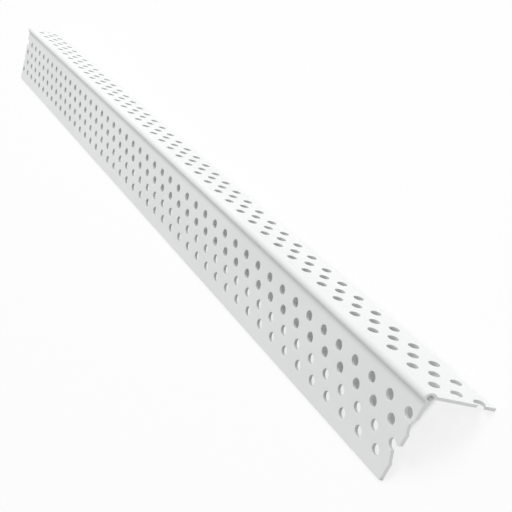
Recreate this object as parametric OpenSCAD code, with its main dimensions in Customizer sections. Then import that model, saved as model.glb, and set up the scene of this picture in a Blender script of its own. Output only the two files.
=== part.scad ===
// Perforated vinyl corner bead for the outside corner of a plasterboard wall
// A wide leg and a narrow leg meet at a right angle in a hollow rounded nose
// Millimetres, +Z up, length along X, standing on the two leg edges with the nose on top

/* [Bead] */
// Length of the nose
length = 534; // [250:1:1200]
// Width of the full leg, from the corner where the two outer faces would meet
full_w = 38; // [32:0.5:50]
// Width of the sparse leg, from the same corner
sparse_w = 22; // [18:0.5:50]
// Thickness of the legs
wall = 1.3; // [1:0.1:1.6]

/* [Near end] */
// How far the slanting cut sets the edge of the full leg back from the end of the nose
cut_back = 9.2; // [0:0.1:15]
// How far the slanting cut lets the edge of the sparse leg run on past the end of the nose
run_on = 7.6; // [0:0.1:12]
// Distance from the corner to the deepest place of the shallow chip in the cut of the full leg
chip_y = 13.8; // [10:0.1:16]
// Depth of the shallow chip
chip_depth = 1.3; // [0.5:0.1:2]
// Width of the shallow chip on each side of its deepest place
chip_side = 3.2; // [2:0.1:4]
// How far the third row's broken first hole opens towards the corner
break_in = 1.4; // [0.5:0.1:2]
// How far the third row's broken first hole opens towards the free edge
break_out = 6.4; // [3:0.1:7]

/* [Nose] */
// Outer radius of the rounded nose
nose_r = 2; // [1.8:0.1:2.4]
// How far the nose stands above each leg's outer face
nose_proud = 1.1; // [0.8:0.05:1.3]
// Thickness of the arch over the hollow of the nose
nose_wall = 0.9; // [0.7:0.1:1.1]
// Radius of the hollow fillet between the nose and each leg
nose_fillet = 0.3; // [0.2:0.1:0.6]

/* [Holes] */
// Diameter of the punched holes
hole_d = 4.2; // [3:0.1:4.6]
// Least distance from the centre of a hole to the free edge of its leg
edge_margin = 4; // [3:0.1:6]

/* [Full leg] */
// Distance of the first row from the corner
full_first = 10.2; // [7.5:0.1:12]
// Spacing between neighbouring rows
full_step = 6.7; // [5:0.1:9]
// Spacing of the holes along a row
full_pitch = 11.7; // [9:0.1:20]
// Distance of the first hole of the first row from the end of the nose
full_start = 6.4; // [6:0.1:11]
// Shift of each row against the one before, as a share of the spacing along a row
full_stagger = 0.6; // [0.3:0.05:0.8]

/* [Sparse leg] */
// Distance of the first row from the corner
sparse_first = 7; // [6.5:0.1:10]
// Spacing between neighbouring rows
sparse_step = 5.3; // [5:0.1:9]
// Spacing of the holes along a row
sparse_pitch = 12.95; // [9:0.05:20]
// Distance of the first hole of the first row from the end of the nose
sparse_start = 7; // [6:0.1:11]
// Shift of each row against the one before, as a share of the spacing along a row
sparse_stagger = 0.571; // [0.3:0.001:0.8]

/* [Hidden] */
$fn = 48;
vinyl_color = [0.91, 0.92, 0.92];
right_angle = 90;
over = 1;
far_x = -(length + run_on) / 2;
near_x = far_x + length;
stock = length + run_on + over;
waste = 3 * (full_w + sparse_w);
cut_yaw = -atan(run_on / sparse_w);
cut_dip = atan(cut_back / full_w * cos(cut_yaw));
cut_slope = cut_back / full_w;
broken_row = 2;
broken_y = full_first + broken_row * full_step;
broken_d = full_start + full_pitch * ((broken_row * full_stagger) % 1);
nose_in = nose_r - nose_proud;
hollow_r = nose_r - nose_wall;
fillet_y = nose_in + sqrt(pow(nose_r + nose_fillet, 2) - pow(nose_in + nose_fillet, 2));
tilt = atan2(full_w - wall, sparse_w - wall);
rest_h = sparse_w * sin(tilt) + wall * cos(tilt);
mid_y = (full_w * sin(tilt) - sparse_w * cos(tilt)) / 2;

// Number of rows between the first row and the free edge of a leg
function row_count(width, first, step) = floor((width - edge_margin - first) / step) + 1;

// True where the circle of a hole at distance d from the end of the nose meets the piece
function meets(d) = d > -run_on - hole_d / 2 && d < length + hole_d / 2;

// One flat leg of uncut stock lying along +Y with its outer face on top
module leg(width) {
    translate([far_x, 0, -wall])
        cube([stock, width, wall]);
}

// One row of holes at distance y from the corner, the first at distance start from the end of the nose
module hole_row(y, pitch, start) {
    for (i = [-ceil((start + run_on) / pitch) : ceil(length / pitch)])
        let (d = start + i * pitch)
            if (meets(d))
                translate([near_x - d, y, -wall - over])
                    cylinder(h = wall + 2 * over, d = hole_d);
}

// All rows of holes through a leg lying along +Y
module leg_holes(width, first, step, pitch, start, stagger) {
    for (row = [0 : row_count(width, first, step) - 1])
        hole_row(first + row * step, pitch, start + pitch * ((row * stagger) % 1));
}

// Round bar along X at a place in the section
module bar(y, z, radius, extra) {
    translate([far_x - extra, y, z])
        rotate([0, right_angle, 0])
            cylinder(h = stock + 2 * extra, r = radius);
}

// Web in the crease between the nose and a leg lying along +Y, with a hollow round face
module crease_web() {
    difference() {
        translate([far_x, 0, 0])
            rotate([right_angle, 0, right_angle])
                linear_extrude(height = stock)
                    polygon([[nose_in, -nose_in], [fillet_y, nose_fillet], [fillet_y, -wall / 2]]);
        bar(fillet_y, nose_fillet, nose_fillet, over);
    }
}

// Clear space in the inner corner under the nose
module inner_corner() {
    translate([far_x - over, wall, -wall - 2 * nose_r])
        cube([stock + 2 * over, 2 * nose_r, 2 * nose_r]);
}

// Everything in front of the slanting cut at the near end
module near_waste() {
    translate([near_x, 0, 0])
        rotate([0, cut_dip, cut_yaw])
            translate([0, -waste / 2, -waste / 2])
                cube(waste);
}

// Place in the near cut of the full leg at distance y from the corner, set back from the cut
function at_cut(y, back) = [near_x - cut_slope * y - back, y];

// Wedge broken out of the near cut of a leg lying along +Y, deepest at y and closing towards each side
module chip(y, depth, inner, outer) {
    translate([0, 0, -wall - over])
        linear_extrude(height = wall + 2 * over)
            polygon([
                at_cut(y, depth),
                at_cut(y - inner, 0),
                at_cut(y - inner, -over),
                at_cut(y + outer, -over),
                at_cut(y + outer, 0)
            ]);
}

// Turns what lies on the leg along +Y over to the leg that hangs down on the other side
module other_side() {
    rotate([right_angle, 0, 0])
        mirror([0, 1, 0])
            children();
}

module corner_bead() {
    color(vinyl_color)
        translate([0, mid_y, rest_h])
            rotate([-tilt, 0, 0])
                difference() {
                    union() {
                        leg(sparse_w);
                        other_side() leg(full_w);
                        bar(nose_in, -nose_in, nose_r, 0);
                        crease_web();
                        other_side() crease_web();
                    }
                    inner_corner();
                    bar(nose_in, -nose_in, hollow_r, over);
                    leg_holes(sparse_w, sparse_first, sparse_step, sparse_pitch, sparse_start, sparse_stagger);
                    other_side()
                        leg_holes(full_w, full_first, full_step, full_pitch, full_start, full_stagger);
                    near_waste();
                    other_side() {
                        chip(chip_y, chip_depth, chip_side, chip_side);
                        chip(broken_y, broken_d - cut_slope * broken_y, break_in, break_out);
                    }
                }
}

corner_bead();
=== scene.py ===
"""Looks of a perforated vinyl corner bead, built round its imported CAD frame.

The bead stands nose up on its two leg edges. Lengths are in millimetres until a mesh is written in metres.
"""

import logging
import math
from dataclasses import dataclass, field
from enum import Enum
from typing import Dict, List, Mapping, Sequence, Tuple, Union

import bmesh
import bpy
import numpy as np
from mathutils import Matrix, Vector


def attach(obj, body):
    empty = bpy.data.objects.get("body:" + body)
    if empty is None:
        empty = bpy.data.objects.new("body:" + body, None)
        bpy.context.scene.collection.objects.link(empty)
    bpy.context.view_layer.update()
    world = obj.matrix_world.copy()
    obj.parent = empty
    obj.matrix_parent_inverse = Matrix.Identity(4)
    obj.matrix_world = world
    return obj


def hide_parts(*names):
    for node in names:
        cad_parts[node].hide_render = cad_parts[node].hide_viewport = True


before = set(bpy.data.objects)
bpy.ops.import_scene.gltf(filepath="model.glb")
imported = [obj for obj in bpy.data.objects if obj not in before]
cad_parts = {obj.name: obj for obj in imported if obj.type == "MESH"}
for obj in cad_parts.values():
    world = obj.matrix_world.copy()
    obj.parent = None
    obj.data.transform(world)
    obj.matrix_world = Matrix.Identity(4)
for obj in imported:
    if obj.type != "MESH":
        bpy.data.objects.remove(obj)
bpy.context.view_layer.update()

LOG = logging.getLogger("corner_bead")
MM = 0.001

Color = Tuple[float, float, float, float]
Point = Tuple[float, float, float]
Span = Tuple[float, float]
Setting = Mapping[str, object]

WHITE: Color = (1.0, 1.0, 1.0, 1.0)


class Leg(Enum):
    """The wide leg with four rows of holes and the narrow leg with three."""

    FULL = "full"
    SPARSE = "sparse"


class Ray(Enum):
    """Kinds of light path that see the white studio."""

    CAMERA = "Is Camera Ray"
    GLOSSY = "Is Glossy Ray"
    TRANSMISSION = "Is Transmission Ray"


class Signal:
    """A shader value that Python arithmetic extends with Math nodes."""

    def __init__(self, sheet: "NodeSheet", socket: bpy.types.NodeSocket) -> None:
        """Wrap one output socket of a node sheet."""
        self.sheet = sheet
        self.socket = socket

    def _math(self, operation: str, *values: "Value") -> "Signal":
        """Add one Math node and give its result."""
        made = self.sheet.add("ShaderNodeMath", {"operation": operation}, dict(enumerate(values)))
        return Signal(self.sheet, made.outputs[0])

    def __add__(self, other: "Value") -> "Signal":
        """Give the sum."""
        return self._math("ADD", self, other)

    __radd__ = __add__

    def __sub__(self, other: "Value") -> "Signal":
        """Give this less the other."""
        return self._math("SUBTRACT", self, other)

    def __rsub__(self, other: "Value") -> "Signal":
        """Give the other less this."""
        return self._math("SUBTRACT", other, self)

    def __mul__(self, other: "Value") -> "Signal":
        """Give the product."""
        return self._math("MULTIPLY", self, other)

    __rmul__ = __mul__

    def larger(self, other: "Value") -> "Signal":
        """Give the larger of the two."""
        return self._math("MAXIMUM", self, other)

    def ease(self, low: float, high: float) -> "Signal":
        """Rise smoothly from nought at low to one at high.

        Args:
            low: Value that gives nought.
            high: Value that gives one.

        Returns:
            The eased value.
        """
        made = self.sheet.add(
            "ShaderNodeMapRange",
            {"interpolation_type": "SMOOTHSTEP"},
            {"Value": self, "From Min": low, "From Max": high},
        )
        return Signal(self.sheet, made.outputs["Result"])


Value = Union[Signal, float, Color, Point, bpy.types.NodeSocket]


@dataclass(frozen=True)
class NoiseScale:
    """Stretch in cycles a metre along each axis, octaves, and the share that each octave keeps."""

    stretch: Point
    detail: float
    roughness: float


class NodeSheet:
    """A node tree that is written node by node."""

    MIX_SHARE, MIX_FIRST, MIX_SECOND, MIX_COLOR = 0, 6, 7, 2

    def __init__(self, tree: bpy.types.NodeTree) -> None:
        """Clear the tree for new nodes."""
        self.tree = tree
        tree.nodes.clear()

    def add(
        self, kind: str, settings: Setting, inputs: Mapping[Union[str, int], Value]
    ) -> bpy.types.Node:
        """Add a node, apply its settings, then set or link its sockets.

        Args:
            kind: Blender's name for the node type.
            settings: Properties of the node, set before its sockets.
            inputs: Values or links by socket name or number.

        Returns:
            The new node.
        """
        node = self.tree.nodes.new(kind)
        for name, setting in settings.items():
            setattr(node, name, setting)
        for key, value in inputs.items():
            source = value.socket if isinstance(value, Signal) else value
            if isinstance(source, bpy.types.NodeSocket):
                self.tree.links.new(source, node.inputs[key])
            else:
                node.inputs[key].default_value = source
        return node

    def signal(self, node: bpy.types.Node, name: Union[str, int] = 0) -> Signal:
        """Wrap one output of a node."""
        return Signal(self, node.outputs[name])

    def blend(self, share: Signal, first: Value, second: Value) -> bpy.types.NodeSocket:
        """Mix two colours.

        Args:
            share: Part of the second colour, nought to one.
            first: Colour at nought.
            second: Colour at one.

        Returns:
            The mixed colour's socket.
        """
        inputs = {self.MIX_SHARE: share, self.MIX_FIRST: first, self.MIX_SECOND: second}
        made = self.add("ShaderNodeMix", {"data_type": "RGBA"}, inputs)
        return made.outputs[self.MIX_COLOR]

    def noise(self, place: bpy.types.NodeSocket, scale: NoiseScale) -> Signal:
        """Add fractal noise on object coordinates.

        Args:
            place: Socket with the object coordinates, in metres.
            scale: Stretch and layers of the noise.

        Returns:
            Noise from nought to one.
        """
        stretched = self.add("ShaderNodeMapping", {}, {"Vector": place, "Scale": scale.stretch})
        layers = {"Scale": 1.0, "Detail": scale.detail, "Roughness": scale.roughness}
        made = self.add(
            "ShaderNodeTexNoise",
            {"noise_dimensions": "3D"},
            {"Vector": stretched.outputs[0], **layers},
        )
        return self.signal(made, "Fac")

    def seen_by(self, *kinds: Ray) -> Signal:
        """Give one on light paths of the named kinds and nought on others.

        Args:
            kinds: Kinds of light path to pick out.

        Returns:
            The picking value.
        """
        path = self.add("ShaderNodeLightPath", {}, {})
        picked = self.signal(path, kinds[0].value)
        for kind in kinds[1:]:
            picked = picked.larger(self.signal(path, kind.value))
        return picked


@dataclass(frozen=True)
class SatinVinyl:
    """White rigid vinyl with a satin skin drawn along the length."""

    name: str = "satin_vinyl"
    pale: Color = (0.86, 0.872, 0.866, 1.0)
    dull: Color = (0.825, 0.838, 0.834, 1.0)
    # Painted shade: a darker grey for the hole walls, the free edges and the crease beside the nose.
    painted_shade_grey: Color = (0.66, 0.672, 0.67, 1.0)
    cloud: NoiseScale = NoiseScale((14.0, 40.0, 40.0), 3.0, 0.5)
    drawn: NoiseScale = NoiseScale((1.5, 1100.0, 1100.0), 2.0, 0.6)
    grain: NoiseScale = NoiseScale((2600.0, 2600.0, 2600.0), 2.0, 0.5)
    scuff: NoiseScale = NoiseScale((60.0, 420.0, 420.0), 4.0, 0.65)
    cloud_span: Span = (0.3, 0.75)
    scuff_span: Span = (0.6, 0.78)
    scuff_share: float = 0.25
    painted_shade_share: float = 0.75
    gloss_floor: float = 0.36
    gloss_cloud: float = 0.09
    gloss_drawn: float = 0.07
    gloss_grain: float = 0.04
    gloss_scuff: float = 0.08
    draw_depth: float = 0.012 * MM
    grain_depth: float = 0.006 * MM
    refraction: float = 1.53
    shine: float = 0.4

    def make(self) -> bpy.types.Material:
        """Build the vinyl.

        Broad clouding mixes the pale and dull whites, drawn lines run along the length, and a fine grain
        breaks the gloss. Painted shade darkens the hole walls, the free edges and the crease beside the
        nose.

        Returns:
            The material.
        """
        material = bpy.data.materials.new(self.name)
        material.use_nodes = True
        sheet = NodeSheet(material.node_tree)
        place = sheet.add("ShaderNodeTexCoord", {}, {}).outputs["Object"]
        cloud = sheet.noise(place, self.cloud)
        drawn = sheet.noise(place, self.drawn)
        grain = sheet.noise(place, self.grain)
        scuff = sheet.noise(place, self.scuff).ease(*self.scuff_span)
        # Painted shade mask: one on the hole walls and free edges and along the wide leg's crease.
        rim = sheet.signal(sheet.add("ShaderNodeAttribute", {"attribute_name": BeadShell.SHADE_MASK}, {}), "Fac")
        base = sheet.blend(cloud.ease(*self.cloud_span), self.pale, self.dull)
        base = sheet.blend(scuff * self.scuff_share, base, self.dull)
        # Painted shade: those places are blended towards the darker grey.
        base = sheet.blend(rim.ease(BeadShell.SHADE_SHOWS, 1.0) * self.painted_shade_share, base, self.painted_shade_grey)
        gloss = self.gloss_cloud * cloud + self.gloss_drawn * drawn + self.gloss_grain * grain
        gloss = self.gloss_floor + gloss + self.gloss_scuff * scuff
        lines = sheet.add("ShaderNodeBump", {}, {"Distance": self.draw_depth, "Height": drawn})
        skin = sheet.add(
            "ShaderNodeBump",
            {},
            {"Distance": self.grain_depth, "Height": grain, "Normal": lines.outputs[0]},
        )
        surface = sheet.add(
            "ShaderNodeBsdfPrincipled",
            {},
            {
                "Base Color": base,
                "Roughness": gloss,
                "Normal": skin.outputs[0],
                "IOR": self.refraction,
                "Specular IOR Level": self.shine,
            },
        )
        sheet.add("ShaderNodeOutputMaterial", {}, {"Surface": surface.outputs[0]})
        return material


@dataclass
class HoleField:
    """Rows of punched holes in one leg, as distances from the end of the nose and from the corner."""

    SPARE_HOLES = 2

    first: float
    step: float
    pitch: float
    start: float
    stagger: float
    rows: int
    long_cuts: int
    short_cuts: int

    def inner_line(self) -> float:
        """Distance from the corner to the side of the field that faces the nose."""
        return self.first - self.step / 2

    def outer_line(self) -> float:
        """Distance from the corner to the side of the field that faces the free edge."""
        return self.inner_line() + self.rows * self.step

    def centres(self, length: float) -> Tuple[np.ndarray, np.ndarray]:
        """Lay out the hole centres, past both ends.

        Hole i of row r lies at start + (i + the fraction of r times stagger) times pitch along the length,
        and at first + r times step across the leg.

        Args:
            length: Length of the bead.

        Returns:
            Distances from the end of the nose and from the corner, each with one row for each row of holes.
        """
        row = np.arange(self.rows)[:, None]
        last = math.ceil(length / self.pitch) + self.SPARE_HOLES
        place = np.arange(-self.SPARE_HOLES, last)[None, :]
        along = self.start + (place + (row * self.stagger) % 1.0) * self.pitch
        across = self.first + row * self.step + 0.0 * place
        return along, across


@dataclass(frozen=True)
class Chip:
    """A wedge broken out of the wide leg's slanting end, deepest at one distance across the leg."""

    across: float
    depth: float
    inner: float
    outer: float


@dataclass
class BeadShell:
    """The whole bead as one closed skin with soft rims, in the place of the CAD solid."""

    # Point attribute that carries painted shade: one on the hole walls and free edges and along the wide
    # leg's crease, nought elsewhere. The shade shows only above the next value.
    SHADE_MASK = "painted_shade_mask"
    SHADE_SHOWS = 0.8
    NO_SHADE = np.zeros(1)
    CREST = math.radians(135.0)
    STRAIGHT_DOWN = math.radians(270.0)
    SHARP_BEND = math.radians(62.0)
    NOSE_POINTS = 22
    FILLET_POINTS = 7
    CREASE_POINTS = 7
    HOLLOW_POINTS = 16
    EDGE_POINTS = 5
    WELD = 0.01 * MM
    SAW_SLACK = 1e-7
    CAP_SLACK = 0.001 * MM
    FLAT_WEIGHT = 100

    length: float = 534.0
    full_w: float = 38.0
    sparse_w: float = 22.0
    wall: float = 1.3
    cut_back: float = 9.2
    run_on: float = 7.6
    nose_r: float = 2.0
    nose_proud: float = 1.1
    nose_wall: float = 0.9
    nose_fillet: float = 0.3
    hole_d: float = 4.2
    rim_r: float = 0.16
    edge_r: float = 0.3
    foot_r: float = 0.08
    crease_reach: float = 2.4
    overrun: float = 14.0
    chip_y: float = 13.8
    chip_depth: float = 1.3
    chip_side: float = 3.2
    broken_row: int = 2
    break_in: float = 1.4
    break_out: float = 6.4
    chip_reach: float = 1.0
    full: HoleField = field(
        default_factory=lambda: HoleField(
            first=10.2, step=6.7, pitch=11.7, start=6.4, stagger=0.6, rows=4, long_cuts=5, short_cuts=3
        )
    )
    sparse: HoleField = field(
        default_factory=lambda: HoleField(
            first=7.0, step=5.3, pitch=12.95, start=7.0, stagger=0.571, rows=3, long_cuts=7, short_cuts=1
        )
    )

    def __post_init__(self) -> None:
        """Start with an empty skin."""
        self._points: List[np.ndarray] = []
        self._shade_marks: List[np.ndarray] = []
        self._faces: List[List[int]] = []
        self._count = 0
        tilt = math.atan2(self.full_w - self.wall, self.sparse_w - self.wall)
        self._sin, self._cos = math.sin(tilt), math.cos(tilt)
        self._nose_end = np.array(
            [
                (self.length - self.run_on) / 2,
                (self.full_w * self._sin - self.sparse_w * self._cos) / 2,
                self.sparse_w * self._sin + self.wall * self._cos,
            ]
        )

    def _field(self, leg: Leg) -> HoleField:
        """Give the hole field of a leg."""
        return self.full if leg is Leg.FULL else self.sparse

    def _width(self, leg: Leg) -> float:
        """Give the width of a leg."""
        return self.full_w if leg is Leg.FULL else self.sparse_w

    def _turn(self, section: np.ndarray) -> np.ndarray:
        """Tilt vectors of the section until both leg edges stand on the floor.

        Before the tilt the narrow leg lies level along y and the wide leg hangs down along z. The tilt
        turns y to cos y + sin z and z to cos z - sin y.

        Args:
            section: Vectors with the coordinates last.

        Returns:
            The vectors in the row frame.
        """
        x, y, z = np.moveaxis(section, -1, 0)
        return np.stack([x, self._cos * y + self._sin * z, self._cos * z - self._sin * y], axis=-1)

    def _place(self, leg: Leg, along: np.ndarray, across: np.ndarray, depth: np.ndarray) -> np.ndarray:
        """Carry leg distances into the row frame.

        Across and depth run along y and down z on the narrow leg, and down z and along y on the wide leg.
        The tilt follows, and the end of the nose is the start of all distances.

        Args:
            leg: Leg that the points lie on.
            along: Distances from the end of the nose.
            across: Distances from the corner along the leg.
            depth: Distances below the leg's outer face.

        Returns:
            Points in metres, with the coordinates last.
        """
        along, across, depth = np.broadcast_arrays(along, across, depth)
        level, hanging = (depth, across) if leg is Leg.FULL else (across, depth)
        return (self._turn(np.stack([-along, level, -hanging], axis=-1)) + self._nose_end) * MM

    def _keep(self, points: np.ndarray, shade_marks: np.ndarray) -> np.ndarray:
        """Add points to the skin.

        Args:
            points: Points with the coordinates last.
            shade_marks: Painted shade of each point, nought on the faces and one where shade is painted.

        Returns:
            Numbers of the points, in the shape of the grid that they came in.
        """
        shape = points.shape[:-1]
        numbers = self._count + np.arange(int(np.prod(shape))).reshape(shape)
        self._points.append(points.reshape(-1, 3))
        self._shade_marks.append(np.broadcast_to(shade_marks, shape).reshape(-1))
        self._count += numbers.size
        return numbers

    def _quads(self, low: np.ndarray, high: np.ndarray) -> None:
        """Join two lines of point numbers by four-sided faces."""
        quads = np.stack([low[..., :-1], low[..., 1:], high[..., 1:], high[..., :-1]], axis=-1)
        self._faces.extend(quads.reshape(-1, 4).tolist())

    def _sweep(self, leg: Leg, profile: np.ndarray, shade_marks: np.ndarray) -> None:
        """Carry a profile straight along the whole length, past both ends.

        Args:
            leg: Leg that the profile is measured on.
            profile: Pairs of distance across the leg and depth below its outer face.
            shade_marks: Painted shade of each point of the profile, or one value for all.
        """
        ends = np.array([-self.overrun, self.length + self.overrun])[:, None]
        numbers = self._keep(self._place(leg, ends, profile[None, :, 0], profile[None, :, 1]), shade_marks)
        self._quads(numbers[0], numbers[1])

    def _crease_shade(self, leg: Leg, profile: np.ndarray) -> np.ndarray:
        """Paint shade into the crease beside the nose, where the wide leg's face meets the fillet.

        The value falls evenly from one at the middle of the fillet to the least that shows at the crease's
        reach.

        Args:
            leg: Leg that the profile is measured on.
            profile: Outside of the nose, with the strip of flat face beside it.

        Returns:
            Painted shade of each point of the profile; none on the narrow leg.
        """
        middle = self._fillet_foot() - self.nose_fillet / 2
        fall = 1.0 - np.abs(profile[:, 0] - middle) / self.crease_reach
        shown = self.SHADE_SHOWS + (1.0 - self.SHADE_SHOWS) * np.clip(fall, 0.0, 1.0)
        return shown if leg is Leg.FULL else self.NO_SHADE

    def _cell_outline(self, hole: HoleField) -> Tuple[np.ndarray, np.ndarray]:
        """Divide the border of one hole's cell into even steps.

        The border runs round a rectangle of one pitch by one row step, with more steps on its long sides,
        and closes on its first point. Even steps let the shifted cells of neighbouring rows share points.

        Args:
            hole: Field that the cell belongs to.

        Returns:
            Offsets along and across from the hole's centre.
        """
        long_side = np.linspace(-0.5, 0.5, hole.long_cuts + 1)[:-1]
        short_side = np.linspace(-0.5, 0.5, hole.short_cuts + 1)[:-1]
        long_rest, short_rest = np.full(long_side.size, 0.5), np.full(short_side.size, 0.5)
        along = np.concatenate([long_side, short_rest, -long_side, -short_rest])
        across = np.concatenate([-long_rest, short_side, long_rest, -short_side])
        return np.append(along, along[0]) * hole.pitch, np.append(across, across[0]) * hole.step

    def _punch(self, leg: Leg) -> None:
        """Build every cell of a leg's hole field, with a soft outer rim and the wall through the leg.

        Each cell is a grid of rings: the cell's border on the outer face, the rim's foot at the hole radius
        plus the rim radius, the hole wall's two ends and the border on the inner face. The rings' points
        lie at even angles, beginning at the corner of the cell.

        Args:
            leg: Leg to punch.
        """
        hole = self._field(leg)
        along, across = (grid.reshape(-1, 1, 1) for grid in hole.centres(self.length))
        side_along, side_across = self._cell_outline(hole)
        count = side_along.size - 1
        begin = -math.pi * (0.5 + hole.long_cuts / count)
        angle = begin + 2.0 * math.pi * np.arange(count + 1) / count
        radius = self.hole_d / 2
        rings = np.array([radius + self.rim_r, radius, radius])
        depths = np.array([0.0, self.rim_r, self.wall])
        ring_along = np.vstack([side_along, rings[:, None] * np.cos(angle), side_along])
        ring_across = np.vstack([side_across, rings[:, None] * np.sin(angle), side_across])
        ring_depth = np.concatenate([[0.0], depths, [self.wall]])[:, None] + 0.0 * ring_along
        # Painted shade: the hole walls get one, the faces of the cell nought.
        on_faces = [0, 1, -1]
        shade_marks = np.ones(ring_along.shape)
        shade_marks[on_faces] = 0.0
        numbers = self._keep(self._place(leg, along + ring_along, across + ring_across, ring_depth), shade_marks)
        self._quads(numbers[:, :-1], numbers[:, 1:])

    def _margin(self, leg: Leg, row: int, line: float, far: float, depth: float) -> None:
        """Fill the plain strip between a side of the hole field and a line along the leg by one flat face.

        Args:
            leg: Leg that the strip lies on.
            row: Row of holes that the strip lies against.
            line: Distance from the corner to the side of the hole field.
            far: Distance from the corner to the straight line.
            depth: Depth of the face below the leg's outer face.
        """
        hole = self._field(leg)
        along = hole.centres(self.length)[0][row]
        stops = int(round((along[-1] - along[0]) / hole.pitch)) + 1
        side = along[0] + (np.arange(stops * hole.long_cuts + 1) / hole.long_cuts - 0.5) * hole.pitch
        ends = np.array([self.length + self.overrun, -self.overrun])
        border = np.concatenate([side, ends])
        reach = np.concatenate([np.full(side.size, line), np.full(ends.size, far)])
        numbers = self._keep(self._place(leg, border, reach, np.array(depth)), self.NO_SHADE)
        self._faces.append(numbers.tolist())

    def _nose_profile(self, leg: Leg) -> np.ndarray:
        """Trace the outside of the nose from its crest to the foot of the fillet on one leg.

        The nose is a circle about a centre as far in from both outer faces. It runs from the crest, at 135
        degrees, to the point nearest the fillet's centre, and the fillet turns from there to straight down.
        On the wide leg a strip of its flat face follows, which carries the crease's painted shade.

        Args:
            leg: Leg that the nose runs down to.

        Returns:
            Pairs of distance across the leg and depth below its outer face.
        """
        inset, foot, bend = self._inset(), self._fillet_foot(), self.nose_fillet
        meet = math.atan2(bend + inset, foot - inset)
        round_nose = np.linspace(self.CREST, meet, self.NOSE_POINTS)
        hollow = np.linspace(meet + math.pi, self.STRAIGHT_DOWN, self.FILLET_POINTS)[1:]
        across = np.concatenate([inset + self.nose_r * np.cos(round_nose), foot + bend * np.cos(hollow)])
        depth = np.concatenate([inset - self.nose_r * np.sin(round_nose), -bend - bend * np.sin(hollow)])
        nose = np.column_stack([across, depth])
        if leg is Leg.SPARSE:
            return nose
        strip = foot + np.linspace(0.0, self.crease_reach, self.CREASE_POINTS)[1:]
        return np.vstack([nose, np.column_stack([strip, 0.0 * strip])])

    def _inset(self) -> float:
        """Distance of the nose's centre inside both outer faces."""
        return self.nose_r - self.nose_proud

    def _fillet_foot(self) -> float:
        """Distance from the corner to where the fillet runs out on the leg's outer face."""
        inset = self._inset()
        return inset + math.sqrt((self.nose_r + self.nose_fillet) ** 2 - (inset + self.nose_fillet) ** 2)

    def _hollow_profile(self) -> np.ndarray:
        """Trace the hollow under the nose from its top to the inner face of one leg.

        The hollow is a circle about the nose's centre, from 135 degrees to where its depth is the wall's.

        Returns:
            Pairs of distance across the leg and depth below its outer face.
        """
        inset, radius = self._inset(), self.nose_r - self.nose_wall
        angle = np.linspace(self.CREST, math.asin((inset - self.wall) / radius), self.HOLLOW_POINTS)
        return np.column_stack([inset + radius * np.cos(angle), inset - radius * np.sin(angle)])

    def _edge_profile(self, leg: Leg) -> np.ndarray:
        """Trace a leg's free edge from the outer face to the inner one, round two quarter turns.

        Args:
            leg: Leg whose edge is traced.

        Returns:
            Pairs of distance across the leg and depth below its outer face.
        """
        turn = np.linspace(0.0, math.pi / 2, self.EDGE_POINTS)
        width = self._width(leg)
        upper = np.column_stack([np.sin(turn), 1.0 - np.cos(turn)]) * self.edge_r
        lower = np.column_stack([np.cos(turn), np.sin(turn)]) * self.foot_r
        upper += [width - self.edge_r, 0.0]
        lower += [width - self.foot_r, self.wall - self.foot_r]
        return np.vstack([upper, lower])

    def _slope(self) -> float:
        """How far the slanting cut sets the wide leg back for each millimetre across it."""
        return self.cut_back / self.full_w

    def _saw_planes(self) -> List[Tuple[np.ndarray, np.ndarray]]:
        """Lay out the slanting cut at the near end and the square cut at the far end.

        The slanting cut passes through the end of the nose. It sets the wide leg's edge back and lets the
        narrow leg's edge run on, so before the tilt its normal is 1, less the narrow leg's slope, less the
        wide leg's.

        Returns:
            A point and an outward normal of each cut, in millimetres.
        """
        slant = self._turn(np.array([1.0, -self.run_on / self.sparse_w, -self._slope()]))
        far_end = self._nose_end - [self.length, 0.0, 0.0]
        return [(self._nose_end, slant), (far_end, np.array([-1.0, 0.0, 0.0]))]

    def _cut_ends(self, mesh: bpy.types.Mesh) -> None:
        """Weld the skin, saw it at both ends and close the cuts.

        Args:
            mesh: Mesh that holds the raw skin.
        """
        body = bmesh.new()
        body.from_mesh(mesh)
        bmesh.ops.remove_doubles(body, verts=body.verts[:], dist=self.WELD)
        for place, normal in self._saw_planes():
            bmesh.ops.bisect_plane(
                body,
                geom=body.verts[:] + body.edges[:] + body.faces[:],
                dist=self.SAW_SLACK,
                plane_co=place * MM,
                plane_no=normal,
                clear_outer=True,
            )
        open_edges = [edge for edge in body.edges if edge.is_boundary]
        bmesh.ops.holes_fill(body, edges=open_edges, sides=0)
        bmesh.ops.recalc_face_normals(body, faces=body.faces[:])
        body.to_mesh(mesh)
        body.free()

    def _chips(self) -> List[Chip]:
        """List the shallow chip and the break, which reaches from the end to the first hole of a row.

        Returns:
            The two chips.
        """
        hole, row = self.full, self.broken_row
        across = hole.first + row * hole.step
        along = hole.start + (row * hole.stagger) % 1.0 * hole.pitch
        broken = Chip(across, along - self._slope() * across, self.break_in, self.break_out)
        return [Chip(self.chip_y, self.chip_depth, self.chip_side, self.chip_side), broken]

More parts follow.
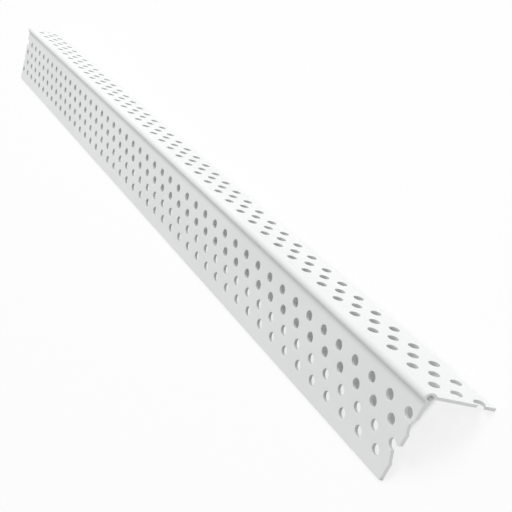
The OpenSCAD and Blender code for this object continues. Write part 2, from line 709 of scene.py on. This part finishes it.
    def _wedge(self, chip: Chip) -> bpy.types.Object:
        """Build the block that a chip takes away.

        Its outline is the deepest place and the two sides of the chip in the slanting end, carried on past
        the end, and it runs through the leg from above the outer face to below the inner one.

        Args:
            chip: Chip to shape.

        Returns:
            The block's object.
        """
        across = chip.across + np.array([0.0, -chip.inner, -chip.inner, chip.outer, chip.outer])
        back = np.array([chip.depth, 0.0, -self.chip_reach, -self.chip_reach, 0.0])
        along = self._slope() * across + back
        depth = np.array([-self.chip_reach, self.wall + self.chip_reach])[:, None]
        points = self._place(Leg.FULL, along[None, :], across[None, :], depth)
        low = np.arange(across.size)
        high = low + across.size
        sides = np.column_stack([low, np.roll(low, -1), np.roll(high, -1), high])
        faces = [low[::-1].tolist(), high.tolist(), *sides.tolist()]
        block = bpy.data.meshes.new("chip_block")
        block.from_pydata(points.reshape(-1, 3), [], faces)
        shape = bmesh.new()
        shape.from_mesh(block)
        bmesh.ops.recalc_face_normals(shape, faces=shape.faces[:])
        shape.to_mesh(block)
        shape.free()
        made = bpy.data.objects.new("chip_block", block)
        bpy.context.scene.collection.objects.link(made)
        return made

    def _break(self, bead: bpy.types.Object) -> None:
        """Break the chips out of the bead's skin and drop the blocks that shaped them.

        Args:
            bead: Object with the closed skin.
        """
        blocks = [self._wedge(chip) for chip in self._chips()]
        for block in blocks:
            cut = bead.modifiers.new(block.name, "BOOLEAN")
            cut.operation = "DIFFERENCE"
            cut.solver = "EXACT"
            cut.object = block
        bpy.context.view_layer.update()
        seen = bead.evaluated_get(bpy.context.evaluated_depsgraph_get())
        broken = bpy.data.meshes.new_from_object(seen)
        whole = bead.data
        bead.modifiers.clear()
        bead.data = broken
        bpy.data.meshes.remove(whole)
        broken.name = bead.name
        for block in blocks:
            shape = block.data
            bpy.data.objects.remove(block)
            bpy.data.meshes.remove(shape)

    def _sharpen(self, mesh: bpy.types.Mesh) -> None:
        """Shade the skin smooth, apart from its sharp bends and the edges round the sawn ends.

        Args:
            mesh: Mesh of the closed skin.
        """
        spots = np.empty(3 * len(mesh.vertices))
        mesh.vertices.foreach_get("co", spots)
        pairs = np.empty(2 * len(mesh.edges), dtype=int)
        mesh.edges.foreach_get("vertices", pairs)
        sawn = np.zeros(len(mesh.edges), dtype=bool)
        for place, normal in self._saw_planes():
            off = (spots.reshape(-1, 3) - place * MM) @ (normal / np.linalg.norm(normal))
            sawn |= (np.abs(off) < self.CAP_SLACK)[pairs.reshape(-1, 2)].all(axis=1)
        mesh.shade_smooth()
        mesh.set_sharp_from_angle(angle=self.SHARP_BEND)
        marks = mesh.attributes["sharp_edge"].data
        sharp = np.zeros(len(marks), dtype=bool)
        marks.foreach_get("value", sharp)
        sharp[sawn] = True
        marks.foreach_set("value", sharp)

    def build(self) -> bpy.types.Object:
        """Build the closed skin and set it in the place of the CAD solid.

        Returns:
            The bead's object.
        """
        hollow = self._hollow_profile()
        for leg in Leg:
            hole, nose, edge = self._field(leg), self._nose_profile(leg), self._edge_profile(leg)
            last_row = hole.rows - 1
            # Painted shade on the free edges' rounding and, on the wide leg, in the crease beside the nose.
            edge_shade = np.pad(np.ones(len(edge) - 2), 1)
            self._sweep(leg, nose, self._crease_shade(leg, nose))
            self._sweep(leg, hollow, self.NO_SHADE)
            self._sweep(leg, edge, edge_shade)
            self._punch(leg)
            self._margin(leg, 0, hole.inner_line(), nose[-1, 0], 0.0)
            self._margin(leg, 0, hole.inner_line(), hollow[-1, 0], self.wall)
            self._margin(leg, last_row, hole.outer_line(), edge[0, 0], 0.0)
            self._margin(leg, last_row, hole.outer_line(), edge[-1, 0], self.wall)
        mesh = bpy.data.meshes.new("vinyl_bead")
        mesh.from_pydata(np.concatenate(self._points), [], self._faces)
        # The painted shade marks go on the skin as a point attribute.
        rim = mesh.attributes.new(self.SHADE_MASK, "FLOAT", "POINT")
        rim.data.foreach_set("value", np.concatenate(self._shade_marks).astype(np.float32))
        self._cut_ends(mesh)
        bead = bpy.data.objects.new("vinyl_bead", mesh)
        bpy.context.scene.collection.objects.link(bead)
        self._break(bead)
        self._sharpen(bead.data)
        flats = bead.modifiers.new("flat_faces_stay_flat", "WEIGHTED_NORMAL")
        flats.mode = "FACE_AREA"
        flats.weight = self.FLAT_WEIGHT
        flats.keep_sharp = True
        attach(bead, "root")
        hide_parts("corner_bead")
        return bead

    def dress(self, bead: bpy.types.Object, finish: SatinVinyl) -> None:
        """Give the bead its finish."""
        bead.data.materials.append(finish.make())


@dataclass(frozen=True)
class SoftLamp:
    """A square soft box aimed at the bead."""

    name: str
    place: Point
    size: float
    power: float

    def hang(self) -> bpy.types.Object:
        """Hang the lamp and aim it at the middle of the bead.

        Returns:
            The lamp's object.
        """
        data = bpy.data.lights.new(self.name, "AREA")
        data.size = self.size
        data.energy = self.power
        lamp = bpy.data.objects.new(self.name, data)
        lamp.location = self.place
        lamp.visible_glossy = False
        lamp.rotation_euler = (-Vector(self.place)).to_track_quat("-Z", "Y").to_euler()
        bpy.context.scene.collection.objects.link(lamp)
        return lamp


@dataclass(frozen=True)
class PaleStudio:
    """A white floor under an even sky, with soft lamps."""

    SEEN_WHITE = (Ray.CAMERA, Ray.GLOSSY, Ray.TRANSMISSION)

    floor_half: float = 4.0
    floor_drop: float = 0.02 * MM
    floor_white: Color = (0.92, 0.92, 0.92, 1.0)
    floor_glow: float = 0.8
    shade_x: Span = (-0.265, 0.248)
    shade_y: Span = (-0.0072, 0.0225)
    shade_fade: float = 0.004
    shade_depth: float = 0.88
    sky: float = 0.54
    lamps: Sequence[SoftLamp] = (
        SoftLamp("back_box", place=(-0.3, 1.0, 1.65), size=1.3, power=24.0),
    )

    def _open_floor(self, sheet: NodeSheet) -> Signal:
        """Tell the open floor from the part under the bead's ridge, where the shadow keeps its depth.

        Args:
            sheet: Node sheet of the floor's material.

        Returns:
            One on the open floor, less the depth of the shade under the ridge.
        """
        place = sheet.add("ShaderNodeTexCoord", {}, {}).outputs["Object"]
        axes = sheet.add("ShaderNodeSeparateXYZ", {}, {0: place})
        half = self.shade_fade / 2
        under: Value = 1.0
        for axis, (low, high) in enumerate((self.shade_x, self.shade_y)):
            along = sheet.signal(axes, axis)
            past_high = along.ease(high - half, high + half)
            under = along.ease(low - half, low + half) * (1.0 - past_high) * under
        return 1.0 - self.shade_depth * under

    def _floor(self) -> bpy.types.Object:
        """Lay the floor, white to the eye with the bead's shadow kept.

        Returns:
            The floor's object.
        """
        corner = np.array([[-1.0, -1.0], [1.0, -1.0], [1.0, 1.0], [-1.0, 1.0]]) * self.floor_half
        points = np.column_stack([corner, np.full(len(corner), -self.floor_drop)])
        mesh = bpy.data.meshes.new("pale_floor")
        mesh.from_pydata(points, [], [[0, 1, 2, 3]])
        material = bpy.data.materials.new("pale_floor")
        material.use_nodes = True
        sheet = NodeSheet(material.node_tree)
        shaded = sheet.add("ShaderNodeBsdfDiffuse", {}, {"Color": self.floor_white})
        glow = sheet.add("ShaderNodeEmission", {}, {"Color": WHITE, "Strength": 1.0})
        seen = sheet.seen_by(*self.SEEN_WHITE) * self.floor_glow * self._open_floor(sheet)
        mixed = sheet.add("ShaderNodeMixShader", {}, {0: seen, 1: shaded.outputs[0], 2: glow.outputs[0]})
        sheet.add("ShaderNodeOutputMaterial", {}, {"Surface": mixed.outputs[0]})
        mesh.materials.append(material)
        floor = bpy.data.objects.new("pale_floor", mesh)
        bpy.context.scene.collection.objects.link(floor)
        return floor

    def _sky(self) -> None:
        """Fill the world with even light that looks white to the eye."""
        world = bpy.data.worlds.new("pale_sky")
        world.use_nodes = True
        sheet = NodeSheet(world.node_tree)
        seen = sheet.seen_by(*self.SEEN_WHITE)
        strength = self.sky + (1.0 - self.sky) * seen
        light = sheet.add("ShaderNodeBackground", {}, {"Color": WHITE, "Strength": strength})
        sheet.add("ShaderNodeOutputWorld", {}, {"Surface": light.outputs[0]})
        bpy.context.scene.world = world

    def build(self) -> None:
        """Lay the floor, fill the sky and hang the lamps."""
        self._floor()
        self._sky()
        for lamp in self.lamps:
            lamp.hang()


@dataclass(frozen=True)
class PhotoCamera:
    """The camera that sees the bead as the photograph does."""

    place: Point = (0.485737, 0.020402, 0.262967)
    forward: Point = (-0.81633, -0.03631, -0.57644)
    up: Point = (-0.39965, 0.75604, 0.51835)
    focal_px: float = 1018.9
    frame_px: float = 512.0
    sensor: float = 36.0
    nearest: float = 0.01

    def build(self) -> bpy.types.Object:
        """Set up the camera and make it the scene's.

        Returns:
            The camera's object.
        """
        data = bpy.data.cameras.new("photo_camera")
        data.sensor_width = self.sensor
        data.lens = self.focal_px / self.frame_px * self.sensor
        data.clip_start = self.nearest
        camera = bpy.data.objects.new("photo_camera", data)
        back = -Vector(self.forward).normalized()
        right = Vector(self.up).cross(back).normalized()
        turn = Matrix((right, back.cross(right), back)).transposed().to_4x4()
        camera.matrix_world = Matrix.Translation(self.place) @ turn
        bpy.context.scene.collection.objects.link(camera)
        bpy.context.scene.camera = camera
        return camera


def main() -> None:
    """Build the bead, the studio and the camera in order, and report each piece."""
    logging.basicConfig(level=logging.INFO, format="%(name)s: %(message)s")
    bpy.context.scene.view_settings.view_transform = "Standard"
    shell = BeadShell()
    bead = shell.build()
    shell.dress(bead, SatinVinyl())
    LOG.info("%s: %d points, %d faces", bead.name, len(bead.data.vertices), len(bead.data.polygons))
    PaleStudio().build()
    PhotoCamera().build()
    LOG.info("studio and camera ready")


if __name__ == "__main__":
    main()
